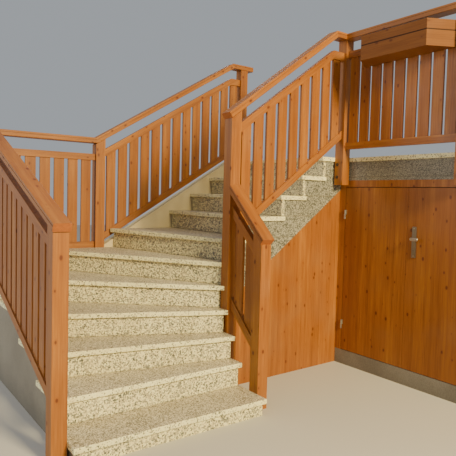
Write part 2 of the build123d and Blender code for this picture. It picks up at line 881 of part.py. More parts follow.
# Level handrail of the balcony, round its free corner to the back
with BuildPart() as balcony_handrail:
    with BuildSketch(Plane.XY.offset(post_level)):
        with BuildLine():
            Polyline(*balcony_plan(0), close=True)
        make_face()
        split(bisect_by=landing_corner, keep=Keep.TOP)
    extrude(amount=handrail_thick)
    fillet(balcony_handrail.edges().filter_by(lambda e: e.length > longest_end_edge), radius=handrail_round)
    with BuildSketch(Plane.XY.offset(landing_top - cap_joint_drop - cap_joint_height)):
        with BuildLine():
            Polyline(*balcony_plan(cap_joint_depth), close=True)
        make_face()
        offset(amount=-cap_joint_depth, kind=Kind.INTERSECTION, mode=Mode.SUBTRACT)
    extrude(amount=cap_joint_height, mode=Mode.SUBTRACT)
balcony_handrail.part.label = "balcony_handrail"
export_step(balcony_handrail.part, "parts/balcony_handrail.step")

# Flower box: a tray of two boards in height with splayed ends, against the upper rail
box_bottom = landing_top - box_drop
box_back = newel_spacing - rail_width / 2
box_face = box_back - box_depth
splay_run = box_depth / math.tan(math.radians(box_splay))
box_outline = [
    (box_centre_x - box_front / 2, box_face),
    (box_centre_x + box_front / 2, box_face),
    (box_centre_x + box_front / 2 + splay_run, box_back),
    (box_centre_x - box_front / 2 - splay_run, box_back),
]
with BuildPart() as flower_box:
    with BuildSketch(Plane.XY.offset(box_bottom)):
        with BuildLine():
            Polyline(*box_outline, close=True)
        make_face()
    extrude(amount=box_height)
    with BuildSketch(Plane.XY.offset(box_bottom + box_board)):
        with BuildLine():
            Polyline(*box_outline, close=True)
        make_face()
        offset(amount=-box_groove, kind=Kind.INTERSECTION, mode=Mode.SUBTRACT)
    extrude(amount=box_groove, mode=Mode.SUBTRACT)
    with BuildSketch(Plane.XY.offset(box_bottom + box_wall)):
        with BuildLine():
            Polyline(*box_outline, close=True)
        make_face()
        offset(amount=-box_wall, kind=Kind.INTERSECTION, mode=Mode.REPLACE)
    extrude(amount=box_height, mode=Mode.SUBTRACT)
flower_box.part.label = "flower_box"
export_step(flower_box.part, "parts/flower_box.step")
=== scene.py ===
# %% [markdown]
# # Stone steps
# The steps come out of the CAD frame with their true shape: granite treads and risers, a balcony
# with a store room under it, and railings in wood decor. This script gives them their finishes,
# adds bolt heads, screws, a seal, end caps and one low wall, and sets up a plain studio.
# The first cell loads the frame. Every object in it lies at the origin, with its place in its mesh.

# %% Load the frame
import math

import bmesh
import bpy
from mathutils import Matrix, Vector


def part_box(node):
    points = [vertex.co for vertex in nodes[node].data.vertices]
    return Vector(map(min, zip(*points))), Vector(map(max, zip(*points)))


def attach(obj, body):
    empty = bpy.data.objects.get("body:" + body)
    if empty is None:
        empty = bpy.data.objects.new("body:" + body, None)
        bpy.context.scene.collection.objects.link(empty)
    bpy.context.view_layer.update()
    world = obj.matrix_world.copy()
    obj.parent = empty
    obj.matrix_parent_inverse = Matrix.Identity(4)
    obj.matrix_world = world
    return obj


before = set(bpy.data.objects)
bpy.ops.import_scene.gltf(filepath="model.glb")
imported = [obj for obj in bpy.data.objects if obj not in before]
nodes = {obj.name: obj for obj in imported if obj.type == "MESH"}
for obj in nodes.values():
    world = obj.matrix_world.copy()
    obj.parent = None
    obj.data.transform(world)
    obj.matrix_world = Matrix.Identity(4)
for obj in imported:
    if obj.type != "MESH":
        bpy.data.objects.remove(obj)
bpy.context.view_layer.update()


# %% [markdown]
# A finish is a tree of shader nodes, and the same few kinds of node come back in each of them. Each
# tree could be written out in full, but short helpers keep the cells below readable: one makes an
# empty material, one adds a node, one gives a socket its value, and the others do sums.
# All patterns read Object coordinates, which are metres here, so a size in a pattern is a real size.

# %% Helpers for nodes and sums
def new_material(name):
    material = bpy.data.materials.new(name)
    material.use_nodes = True
    material.node_tree.nodes.clear()
    return material, material.node_tree


def add(tree, kind, **settings):
    node = tree.nodes.new(kind)
    for key, value in settings.items():
        setattr(node, key, value)
    return node


def feed(tree, socket, value):
    """Gives a socket a number, a colour or the output of another node."""
    if isinstance(value, (int, float)):
        socket.default_value = value
    elif isinstance(value, tuple):
        socket.default_value = (*value, 1.0)
    else:
        tree.links.new(value, socket)


def object_position(tree):
    return add(tree, "ShaderNodeTexCoord").outputs["Object"]


def math_node(tree, operation, a, b=None):
    node = add(tree, "ShaderNodeMath", operation=operation)
    for socket, value in zip(node.inputs, (a, b)):
        if value is not None:
            feed(tree, socket, value)
    return node.outputs[0]


def dot(tree, vector, axis):
    """Length of a vector along an axis."""
    node = add(tree, "ShaderNodeVectorMath", operation="DOT_PRODUCT")
    tree.links.new(vector, node.inputs[0])
    node.inputs[1].default_value = axis
    return node.outputs["Value"]


def combine(tree, x, y):
    node = add(tree, "ShaderNodeCombineXYZ")
    feed(tree, node.inputs["X"], x)
    feed(tree, node.inputs["Y"], y)
    return node.outputs[0]


def between(tree, share, first, second):
    """Number that goes from the first to the second as the share goes from 0 to 1."""
    step = math_node(tree, "SUBTRACT", second, first)
    return math_node(tree, "ADD", first, math_node(tree, "MULTIPLY", step, share))


print("helpers for nodes ready")


# %% [markdown]
# Noise makes what is cloudy or streaked, and Voronoi cells make what lies in separate spots. Both
# give numbers, so a smooth step picks the part of their range that counts, and a colour ramp or a
# mix turns it into colours. White noise of a whole number is a lottery: it gives each board and
# each step a value of its own that never changes from one run to the next.

# %% Helpers for patterns
def noise(tree, vector, scale, detail=2.0, roughness=0.5, dimensions="3D"):
    node = add(tree, "ShaderNodeTexNoise", noise_dimensions=dimensions)
    tree.links.new(vector, node.inputs["Vector"])
    for key, number in (("Scale", scale), ("Detail", detail), ("Roughness", roughness)):
        node.inputs[key].default_value = number
    return node.outputs["Fac"]


def split(tree, colour):
    """The three channels of a colour. In a random colour they are three random numbers."""
    parts = add(tree, "ShaderNodeSeparateColor")
    tree.links.new(colour, parts.inputs[0])
    return parts.outputs


def lottery(tree, number):
    """Two random numbers from 0 to 1 that belong to a whole number."""
    dice = add(tree, "ShaderNodeTexWhiteNoise", noise_dimensions="1D")
    tree.links.new(number, dice.inputs["W"])
    parts = split(tree, dice.outputs["Color"])
    return parts[0], parts[1]


def cells(tree, vector, size, dimensions):
    """A random number for each Voronoi cell, and the distance from its middle."""
    pattern = add(tree, "ShaderNodeTexVoronoi", voronoi_dimensions=dimensions, feature="F1")
    pattern.inputs["Scale"].default_value = 1.0 / size
    tree.links.new(vector, pattern.inputs["Vector"])
    return split(tree, pattern.outputs["Color"])[0], pattern.outputs["Distance"]


def smooth(tree, value, low, high, start=0.0, end=1.0):
    """Goes smoothly from the start to the end while the value goes from low to high."""
    node = add(tree, "ShaderNodeMapRange", interpolation_type="SMOOTHSTEP")
    tree.links.new(value, node.inputs["Value"])
    for key, number in (("From Min", low), ("From Max", high), ("To Min", start), ("To Max", end)):
        node.inputs[key].default_value = number
    return node.outputs["Result"]


print("helpers for patterns ready")


# %% [markdown]
# Colours are written as they look on a screen, from 0 to 255, and made linear, because the shader
# adds light and needs linear numbers. Each finish ends in one Principled shader with a roughness
# that varies and a fine relief. A single flat colour would look like plastic, and a displaced mesh
# would be far too heavy for grains this small, so the relief is a bump, from a few hundredths of a
# millimetre on steel to a millimetre or two on render.

# %% Helpers for colours and the surface
# A Mix node has sockets for each kind of data. Those for colours are found by their number.
mix_first, mix_second, mix_result = 6, 7, 2


def linear(red, green, blue):
    """Linear colour of an sRGB colour given from 0 to 255."""
    channels = (red / 255, green / 255, blue / 255)
    return tuple(c / 12.92 if c <= 0.04045 else ((c + 0.055) / 1.055) ** 2.4 for c in channels)


def ramp(tree, value, stops):
    node = add(tree, "ShaderNodeValToRGB")
    tree.links.new(value, node.inputs["Fac"])
    elements = node.color_ramp.elements
    while len(elements) < len(stops):
        elements.new(1.0)
    for element, (place, colour) in zip(elements, stops):
        element.position = place
        element.color = (*colour, 1.0)
    return node.outputs["Color"]


def mix(tree, share, first, second, blend="MIX"):
    """The first colour where the share is 0, the second where it is 1."""
    node = add(tree, "ShaderNodeMix", data_type="RGBA", blend_type=blend)
    feed(tree, node.inputs["Factor"], share)
    feed(tree, node.inputs[mix_first], first)
    feed(tree, node.inputs[mix_second], second)
    return node.outputs[mix_result]


def finish_surface(tree, colour, roughness, height, relief, metallic=0.0, specular=0.5):
    """Shader and output of a finish. The relief is how far the height stands out, in metres."""
    surface = add(tree, "ShaderNodeBsdfPrincipled")
    surface.inputs["Metallic"].default_value = metallic
    surface.inputs["Specular IOR Level"].default_value = specular
    tree.links.new(colour, surface.inputs["Base Color"])
    tree.links.new(roughness, surface.inputs["Roughness"])
    bump = add(tree, "ShaderNodeBump")
    bump.inputs["Strength"].default_value = 1.0
    bump.inputs["Distance"].default_value = relief
    tree.links.new(height, bump.inputs["Height"])
    tree.links.new(bump.outputs["Normal"], surface.inputs["Normal"])
    output = add(tree, "ShaderNodeOutputMaterial")
    tree.links.new(surface.outputs[0], output.inputs["Surface"])


def dress(material, *names):
    """Gives CAD nodes one material in all their slots. Their meshes stay as they are."""
    for name in names:
        for slot in nodes[name].material_slots:
            slot.material = material


print("helpers for surfaces ready")


# %% [markdown]
# The railings, doors and panels are aluminium with a printed larch decor: orange brown, a fine
# grain along each board and small red knots. An image of wood would repeat, and it would need an
# unwrapped mesh. Real grain follows the board, so here a noise is stretched along the direction of
# each piece. A pattern in the plane of grain and width works on every face of an upright piece: the
# length along the grain is one coordinate, the sum of the two others is the second. Boards are told
# apart by counting them along the run. Each number gives the board its own place in the pattern and
# a slightly darker or paler tone, so no two boards look the same.

# %% Grain, boards and knots
up = Vector((0, 0, 1))
side_x = Vector((1, 0, 0))
side_y = Vector((0, 1, 0))
streak_scale, band_scale, cloud_scale = 130.0, 22.0, 5.0
grain_stretch, cloud_stretch = 0.03, 0.4
board_offset = 7.0
knot_spacing, knot_stretch, knot_radius = 0.105, 0.62, 0.09
wood_stops = (
    (0.34, linear(130, 75, 28)),
    (0.47, linear(151, 92, 37)),
    (0.58, linear(165, 104, 43)),
    (0.70, linear(178, 118, 53)),
)
cloud_brown, board_brown = linear(141, 82, 32), linear(130, 73, 27)
halo_brown, heart_brown = linear(133, 71, 26), linear(88, 36, 17)


def drawn_out(tree, width, length, stretch):
    """Place in a flat pattern that is drawn out along the grain."""
    return combine(tree, width, math_node(tree, "MULTIPLY", length, stretch))


def board_number(tree, position, axis, start, pitch):
    distance = math_node(tree, "SUBTRACT", dot(tree, position, axis), start)
    return math_node(tree, "FLOOR", math_node(tree, "DIVIDE", distance, pitch))


def with_knots(tree, body, width, length):
    """Adds knots of random size, each a dark heart in a reddish halo, one at most in a cell."""
    luck, distance = cells(tree, drawn_out(tree, width, length, knot_stretch), knot_spacing, "2D")
    radius = smooth(tree, luck, 0.2, 1.0, 0.0, knot_radius)
    depth = math_node(tree, "SUBTRACT", radius, distance)
    body = mix(tree, smooth(tree, depth, -0.10, 0.01, 0.0, 0.35), body, halo_brown)
    return mix(tree, smooth(tree, depth, -0.02, 0.03, 0.0, 0.8), body, heart_brown)


def decor_layers(tree, position, along, across, boards=None):
    """Colour and grain of the decor along one direction, with boards as axis, start and pitch."""
    length = dot(tree, position, along)
    width = dot(tree, position, across)
    if boards:
        luck, tone = lottery(tree, board_number(tree, position, *boards))
        length = math_node(tree, "ADD", length, math_node(tree, "MULTIPLY", luck, board_offset))
    fibre = drawn_out(tree, width, length, grain_stretch)
    streaks = noise(tree, fibre, streak_scale, 4.0, 0.62, "2D")
    bands = noise(tree, fibre, band_scale, dimensions="2D")
    grain = between(tree, 0.5, streaks, bands)
    body = ramp(tree, grain, wood_stops)
    patch = drawn_out(tree, width, length, cloud_stretch)
    cloud = noise(tree, patch, cloud_scale, dimensions="2D")
    body = mix(tree, smooth(tree, cloud, 0.35, 0.7, 0.0, 0.35), body, cloud_brown)
    if boards:
        body = mix(tree, smooth(tree, tone, 0.1, 0.9, 0.0, 0.42), body, board_brown)
    return with_knots(tree, body, width, length), grain


print("grain drawn out", round(1 / grain_stretch), "times, knots", knot_spacing, "m apart")


# %% [markdown]
# One mesh may hold boards of two directions. It could be cut in two, but a CAD mesh is never
# changed, so a finish takes a first pattern and others, each with a mask that is 1 where it shows.
# The flower box is duller than the railings, and its wood is darker: partly weathering, mostly painted
# shade. Along the joint between its two boards lies a dark band of painted shade and dirt. A little dust
# dulls every piece in patches.

# %% Wood decor
# The first two browns are painted shade: one darkens a weathered, shaded piece, one the joint between
# two boards, with some dirt.
weathered_shade_brown, joint_dirt_and_shade_brown, dust_grey = linear(86, 51, 26), linear(49, 23, 13), linear(141, 120, 94)
wood_gloss, wood_relief = 0.4, 0.00008
plank_pitch = 0.145
box_board, box_joint = 0.116, 0.004


def across_of(along, side):
    """Width direction that works on all faces along the grain of a piece that faces one side."""
    return along.cross(side).normalized() + side


def wood_decor(name, pattern, overrides=(), aged_and_shaded=0.0, joint_height=None):
    """Decor with one pattern, others where their masks are 1, weathering and painted shade, and a
    shaded, dirty joint.
    """
    material, tree = new_material(name)
    position = object_position(tree)
    colour, grain = decor_layers(tree, position, *pattern)
    for mask, *other in overrides:
        share = mask(tree, position)
        other_colour, other_grain = decor_layers(tree, position, *other)
        colour = mix(tree, share, colour, other_colour)
        grain = between(tree, share, grain, other_grain)
    # Painted shade and weathering: the wood is darkened by the given share.
    colour = mix(tree, aged_and_shaded, colour, weathered_shade_brown)
    if joint_height:
        # Painted shade and dirt: a dark band along the joint between two boards.
        height = math_node(tree, "SUBTRACT", dot(tree, position, up), joint_height)
        from_joint = math_node(tree, "ABSOLUTE", height)
        colour = mix(tree, smooth(tree, from_joint, 0.002, 0.008, 0.8, 0.0), colour, joint_dirt_and_shade_brown)
    dust = noise(tree, position, 3.0, 3.0)
    colour = mix(tree, smooth(tree, dust, 0.45, 0.8, 0.0, 0.12), colour, dust_grey)
    lost_gloss = 0.3 * aged_and_shaded
    roughness = smooth(tree, dust, 0.3, 0.75, 0.4 + lost_gloss, 0.56 + lost_gloss)
    finish_surface(tree, colour, roughness, grain, wood_relief, specular=wood_gloss - lost_gloss)
    return material


box_joint_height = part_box("flower_box")[0].z + box_board + box_joint / 2
wood_post = wood_decor("wood_post", (up, side_x + side_y))
wood_panel = wood_decor("wood_panel", (up, side_x + side_y, (side_x + side_y, 0.0, plank_pitch)))
# The flower box is darkened by painted shade and weathering, and has less gloss.
wood_boxed = wood_decor("wood_flower_box", (side_x, up), aged_and_shaded=0.6, joint_height=box_joint_height)
print("wood decor ready, planks of", plank_pitch, "m on the panels")


# %% [markdown]
# Each railing run has its own direction. The slopes could be typed in, but measuring keeps them
# right when the CAD changes. On a sloping handrail the widest face that looks up and is not level
# gives the slope, and its ends are the knees, where the grain turns level.

# %% Measuring a handrail
least_rise, least_lean, most_sideways = 0.3, 0.1, 0.01


def slope_and_knees(node, axis):
    """Slope of the widest sloping top face of a handrail, and its two ends along the axis."""
    mesh = nodes[node].data
    side = up.cross(axis)
    areas, spans = {}, {}
    for face in mesh.polygons:
        rise, lean, sideways = face.normal.z, face.normal.dot(axis), face.normal.dot(side)
        if rise < least_rise or abs(lean) < least_lean or abs(sideways) > most_sideways:
            continue
        slope = round(-lean / rise, 3)
        places = [mesh.vertices[i].co.dot(axis) for i in face.vertices]
        areas[slope] = areas.get(slope, 0.0) + face.area
        spans.setdefault(slope, []).extend(places)
    widest = max(areas, key=areas.get)
    return widest, min(spans[widest]), max(spans[widest])


run_axis = {"outer": side_x, "left": side_y, "low": side_x, "inner": side_y}
run_slopes = {}
for run, axis in run_axis.items():
    run_slopes[run] = slope_and_knees(f"{run}_handrail", axis)
    print(run, "slope %.3f from %.3f to %.3f" % run_slopes[run])


# %% [markdown]
# A railing panel is one mesh with boards of two directions: upright slats, and the rails they are
# let into. Only the rails are thick enough to reach past the slats, so the distance from the
# middle plane picks the pattern. On a handrail the knees pick it, and on the balcony handrail,
# which turns a corner, the mitre line does. Each mask is a small function that adds its own nodes.

# %% Masks on railings
rail_reach = 0.0105


def rail_mask(side, middle_plane):
    """Mask of the rails of a panel, which reach further from its middle plane than the slats."""
    def mask(tree, position):
        offset = math_node(tree, "SUBTRACT", dot(tree, position, side), middle_plane)
        return math_node(tree, "GREATER_THAN", math_node(tree, "ABSOLUTE", offset), rail_reach)
    return mask


def knee_mask(axis, first_knee, last_knee):
    """Mask of the level ends of a handrail, before its first knee and past its last."""
    def mask(tree, position):
        place = dot(tree, position, axis)
        past_first = math_node(tree, "GREATER_THAN", place, first_knee)
        before_last = math_node(tree, "LESS_THAN", place, last_knee)
        return math_node(tree, "SUBTRACT", 1.0, math_node(tree, "MULTIPLY", past_first, before_last))
    return mask


def mitre_mask(mitre_place):
    """Mask of the part of a handrail that lies past a mitre across X and Y."""
    def mask(tree, position):
        return math_node(tree, "GREATER_THAN", dot(tree, position, side_x + side_y), mitre_place)
    return mask


print("rails reach more than", rail_reach, "m from the middle plane")


# %% [markdown]
# Now every railing run gets its finish. The slats of a run are counted from the clear length
# between its posts, in the way that a carpenter shares out the gaps, so the tone changes exactly
# from slat to slat. The balcony has two equal bays with a post between them.

# %% Wood decor on railings, posts and panels
slat_width, slat_gap = 0.088, 0.030
run_axis.update({"turn": side_y, "end": side_y, "balcony": side_x})
post_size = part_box("landing_post")[1].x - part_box("landing_post")[0].x


def slat_boards(start, axis, clear):
    """Axis, start and pitch of the slats between two posts, with half a gap before the first."""
    count = round((clear - slat_gap) / (slat_width + slat_gap))
    gap = (clear - count * slat_width) / (count + 1)
    return axis, start + gap / 2, slat_width + gap


for run, axis in run_axis.items():
    slope, *knees = run_slopes.get(run, (0.0, 0.0, 0.0))
    low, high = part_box(f"{run}_infill")
    side = side_y if axis is side_x else side_x
    clear = (high - low).dot(axis)
    if run == "balcony":
        clear = (clear - post_size) / 2
    rail_along = (axis + slope * up).normalized()
    rail_pattern = (rail_along, across_of(rail_along, side))
    slats = (up, side_x + side_y, slat_boards(low.dot(axis), axis, clear))
    rails = (rail_mask(side, side.dot(low + high) / 2), *rail_pattern)
    dress(wood_decor(f"wood_{run}_infill", slats, [rails]), f"{run}_infill")
    if slope:
        level = (knee_mask(axis, *knees), axis, across_of(axis, side))
        dress(wood_decor(f"wood_{run}_handrail", rail_pattern, [level]), f"{run}_handrail")

rail_low, rail_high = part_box("balcony_handrail")
past_corner = (mitre_mask(rail_high.x + rail_low.y), side_y, across_of(side_y, side_x))
wood_corner = wood_decor("wood_balcony_handrail", (side_x, across_of(side_x, side_y)), [past_corner])
dress(wood_corner, "balcony_handrail")
dress(wood_boxed, "flower_box")
dress(wood_panel, "side_panel", "front_panel", "left_door", "right_door")
dress(
    wood_post, "outer_newel", "low_newel", "inner_newel", "corner_post", "turn_post", "landing_post",
    "balcony_posts", "door_frame",
)
print(len(run_axis), "railing runs, the posts and the panels in wood decor")


# %% [markdown]
# Each step is cut from its own slab, so each tread and the riser under it have a tone of their own.
# The finish has to know on which step a point lies. The steps could be numbered by hand, but all
# risers above the first are equally high, so the height of a point gives the number.

# %% Levels of the steps
step_count = 11
floor_low, floor_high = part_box("landing_floor")
tread_low, tread_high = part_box("treads")
first_level = tread_low.z + (floor_high.z - floor_low.z)
riser_height = (tread_high.z - first_level) / (step_count - 1)
print("first step %.3f m high, the others %.3f m" % (first_level, riser_height))


# %% [markdown]
# Granite is a packed mass of grains a few millimetres wide: pale feldspar, grey quartz and dark
# mica. Plain noise has no edges between its colours. A Voronoi pattern has just such cells, each
# with its own random number, and a ramp turns that number into the share of each mineral. A second
# set of smaller grains is mixed in. The treads are ground smooth on top, so the grains are finer
# and quieter there, while the front edges and risers show them clearly.

# %% Stone of coloured grains
small_grains, ground_grains = 0.5, 0.7
level_face = 0.9
step_margin = 0.01
foot_band_height = 0.014
slab_tone, cloud_tone, foot_brown = linear(196, 184, 156), linear(156, 142, 112), linear(96, 86, 66)


def grains(tree, position, size, stops):
    pick = cells(tree, position, size, "3D")[0]
    return ramp(tree, pick, stops), pick


def stone(name, size, stops, fine, ground_stops=None, relief=0.0004):
    """Stone with a share of fine grains, ground on the faces that look up, darker just above each step
    level.
    """
    material, tree = new_material(name)
    position = object_position(tree)
    colour, pick = grains(tree, position, size, stops)
    colour = mix(tree, fine, colour, grains(tree, position, size * small_grains, stops)[0])
    normal = add(tree, "ShaderNodeNewGeometry").outputs["Normal"]
    looks_up = math_node(tree, "GREATER_THAN", dot(tree, normal, up), level_face)
    if ground_stops:
        ground = grains(tree, position, size * ground_grains, ground_stops)[0]
        colour = mix(tree, looks_up, colour, ground)
    height = math_node(tree, "SUBTRACT", dot(tree, position, up), first_level)
    steps_up = math_node(tree, "DIVIDE", height, riser_height)
    step = math_node(tree, "CEIL", math_node(tree, "SUBTRACT", steps_up, step_margin))
    tone = smooth(tree, lottery(tree, step)[0], 0.0, 1.0, 0.0, 0.14)
    colour = mix(tree, tone, colour, slab_tone, "MULTIPLY")
    cloud = smooth(tree, noise(tree, position, 4.0, 4.0), 0.35, 0.7, 0.0, 0.12)
    colour = mix(tree, cloud, colour, cloud_tone, "MULTIPLY")
    above_tread = math_node(tree, "FLOORED_MODULO", height, riser_height)
    # Faces that don't look up are darker in a thin band just above each step level.
    foot = smooth(tree, above_tread, 0.0, foot_band_height, 0.55, 0.0)
    darker_foot = math_node(tree, "MULTIPLY", foot, math_node(tree, "SUBTRACT", 1.0, looks_up))
    colour = mix(tree, darker_foot, colour, foot_brown)
    finish_surface(tree, colour, smooth(tree, pick, 0.0, 1.0, 0.5, 0.72), pick, relief)
    return material


print("grains ready, the small ones", small_grains, "of the size")


# %% [markdown]
# The same function makes four finishes, which could each have a tree of their own but differ only in
# size and colours. Fronts of treads are mostly pale, risers have more dark grains, and grey chips
# cover the string beside the upper flight and, finer, the fascia of the balcony. Each stop of a
# ramp says from which number on a mineral starts.

# %% Granite and stone chips
dark, grey, beige = linear(38, 47, 52), linear(104, 110, 108), linear(178, 170, 144)
cream, pale = linear(244, 232, 180), linear(255, 252, 199)
edge_stops = ((0.0, dark), (0.05, grey), (0.13, beige), (0.26, cream), (0.46, pale))
riser_stops = ((0.0, dark), (0.12, grey), (0.34, beige), (0.68, cream), (0.92, pale))
top_stops = (
    (0.0, linear(81, 79, 72)),
    (0.18, linear(142, 135, 118)),
    (0.5, linear(190, 179, 153)),
    (0.80, linear(235, 225, 198)),
)
chip_stops = (
    (0.0, linear(27, 31, 31)),
    (0.22, linear(71, 76, 73)),
    (0.45, linear(114, 114, 103)),
    (0.74, linear(175, 172, 156)),
)
granite_grain, chip_size, fascia_chip_size = 0.0086, 0.0085, 0.0055
tread_granite = stone("tread_granite", granite_grain, edge_stops, 0.15, ground_stops=top_stops)
riser_granite = stone("riser_granite", granite_grain, riser_stops, 0.12)
stone_chips = stone("stone_chips", chip_size, chip_stops, 0.25, relief=0.0010)
fascia_chips = stone("fascia_chips", fascia_chip_size, chip_stops, 0.5)
dress(tread_granite, "treads", "landing_floor")
dress(riser_granite, "risers")
dress(stone_chips, "stone_string")
dress(fascia_chips, "fascia")
print("stone dressed, granite grains of", granite_grain, "m")


# %% [markdown]
# The cheek walls and the store room are rendered masonry, the low wall along the upper flight has a
# cream render, and the bodies under the treads are bare concrete. Each could have a tree of its own,
# but they differ only in colour, pit size and relief. All have cloudy patches, small pits and a
# darker damp foot, which the height above the ground gives.

# %% Render and concrete
pit_grey, damp_grey = linear(56, 53, 47), linear(66, 60, 51)


def masonry(name, pale_colour, dark_colour, pit_size, relief):
    material, tree = new_material(name)
    position = object_position(tree)
    cloud = noise(tree, position, 2.2, 5.0, 0.6)
    colour = mix(tree, smooth(tree, cloud, 0.3, 0.7), dark_colour, pale_colour)
    sand = noise(tree, position, 1.0 / pit_size, 3.0, 0.7)
    colour = mix(tree, smooth(tree, sand, 0.35, 0.65, 0.25, 0.0), colour, pit_grey)
    uneven = math_node(tree, "MULTIPLY", cloud, 0.25)
    damp = math_node(tree, "ADD", dot(tree, position, up), uneven)
    colour = mix(tree, smooth(tree, damp, 0.1, 0.4, 0.35, 0.0), colour, damp_grey)
    finish_surface(tree, colour, smooth(tree, cloud, 0.0, 1.0, 0.75, 0.95), sand, relief)
    return material


wall_render = masonry("wall_render", linear(150, 143, 128), linear(133, 126, 112), 0.006, 0.0015)
bare_concrete = masonry("bare_concrete", linear(156, 152, 143), linear(137, 132, 123), 0.012, 0.001)
cream_render = masonry("cream_render", linear(227, 212, 171), linear(216, 197, 150), 0.004, 0.0015)
dress(
    wall_render, "cheek_walls", "store_back_wall", "store_left_wall", "store_right_wall",
    "store_front_wall",
)
dress(bare_concrete, "lower_core", "upper_core", "landing_deck", "store_floor")
dress(cream_render, "left_wall")
print("masonry dressed")


# %% [markdown]
# The small pieces that the CAD doesn't have are closed shells: a ring of points, a second ring
# opposite it, two flat faces and a strip of sides. They could be extruded from one face, but that
# returns its faces in another order each run, and written out they are the same every time. The
# normals are recalculated, so all faces point outwards.

# %% Closed shells
def closed_shell(name, near, far, material, body, edge=0.0):
    """Piece between two rings of points that lie opposite each other, its edges bevelled."""
    n = len(near)
    faces = [tuple(range(n))[::-1], tuple(range(n, 2 * n))]
    faces += [(i, (i + 1) % n, (i + 1) % n + n, i + n) for i in range(n)]
    mesh = bpy.data.meshes.new(name)
    mesh.from_pydata([*near, *far], [], faces)
    shape = bmesh.new()
    shape.from_mesh(mesh)
    if edge:
        bmesh.ops.bevel(shape, geom=shape.edges[:], offset=edge, segments=2, profile=0.5, affect="EDGES")
    bmesh.ops.recalc_face_normals(shape, faces=shape.faces)
    shape.to_mesh(mesh)
    shape.free()
    mesh.materials.append(material)
    piece = bpy.data.objects.new(name, mesh)
    bpy.context.scene.collection.objects.link(piece)
    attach(piece, body)
    print(name, "with", len(mesh.polygons), "faces")
    return piece


def prism(name, outline, x_low, x_high, material, body, edge=0.0):
    """Shell with one outline in Y and Z, from one X to another."""
    near, far = ([(x, y, z) for y, z in outline] for x in (x_low, x_high))
    return closed_shell(name, near, far, material, body, edge)


print("ready to make shells")


# %% [markdown]
# The cream wall goes on round the turn, under the level railing there, and ends at the corner post.
# It could be a box, but the hanging post of the turn is let into it. So its side outline is drawn
# once in Y and Z, with a step for the post, and pushed out along X. Trowelled render has no sharp
# edges, so they are bevelled a little.

# %% Wall under the railing of the turn
wall_below_rail = 0.040
render_edge = 0.003
wall_low, wall_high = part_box("left_wall")
turn_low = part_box("turn_post")[0]
corner_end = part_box("corner_post")[1].y
under_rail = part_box("turn_infill")[0].z - wall_below_rail
wall_outline = [
    (corner_end, 0.0), (wall_low.y, 0.0), (wall_low.y, turn_low.z),
    (turn_low.y, turn_low.z), (turn_low.y, under_rail), (corner_end, under_rail),
]
turn_wall = prism(
    "turn_wall", wall_outline, wall_low.x, wall_high.x, cream_render, "root", edge=render_edge,
)
print("turn wall %.3f m high" % under_rail)


# %% [markdown]
# The door furniture is stainless steel. Brushing leaves fine scratches along the piece. An
# anisotropic shader would stretch the highlights, but at this size a noise that is stretched along Z
# and drives the roughness looks the same and is simpler. The lock plate has a darker satin finish
# than the lever, and the bolts of the posts have a weathered brown tone.

# %% Steel
scratch_scale = 900.0
scratch_stretch = (1.0, 1.0, 0.05)
scratch_shade = 0.88
scratch_relief = 0.00003


def brushed(name, colour, metallic):
    material, tree = new_material(name)
    stretched = add(tree, "ShaderNodeVectorMath", operation="MULTIPLY")
    tree.links.new(object_position(tree), stretched.inputs[0])
    stretched.inputs[1].default_value = scratch_stretch
    lines = noise(tree, stretched.outputs[0], scratch_scale, 3.0)
    darker = tuple(c * scratch_shade for c in colour)
    shade = mix(tree, smooth(tree, lines, 0.3, 0.7), darker, colour)
    roughness = smooth(tree, lines, 0.3, 0.7, 0.28, 0.42)
    finish_surface(tree, shade, roughness, lines, scratch_relief, metallic)
    return material


steel = brushed("brushed_steel", linear(193, 190, 180), 1.0)
satin_steel = brushed("satin_steel", linear(146, 142, 130), 0.9)
dark_steel_and_slot_shade = brushed("dark_steel_and_slot_shade", linear(90, 75, 62), 0.6)
dress(steel, "frame_hinges", "left_door_hinges", "right_door_hinges", "door_lever")
dress(satin_steel, "door_handle")
print("steel dressed")


# %% [markdown]
# The balcony posts hang in front of the deck, each held by two bolts, and the lock plate has two
# small screws. Each head could be modelled by hand, but all are alike, so one Geometry Nodes tree
# puts a washer and a head on every point of a small mesh. Its inputs are the sizes, the number of
# sides, the turn of the heads and the material.

# %% A tree for bolt and screw heads
bolt_sizes = (
    ("Washer Radius", 0.014), ("Washer Height", 0.003), ("Head Radius", 0.009), ("Head Height", 0.007),
)
bolt_sides = (("Washer Sides", 20), ("Head Sides", 6))


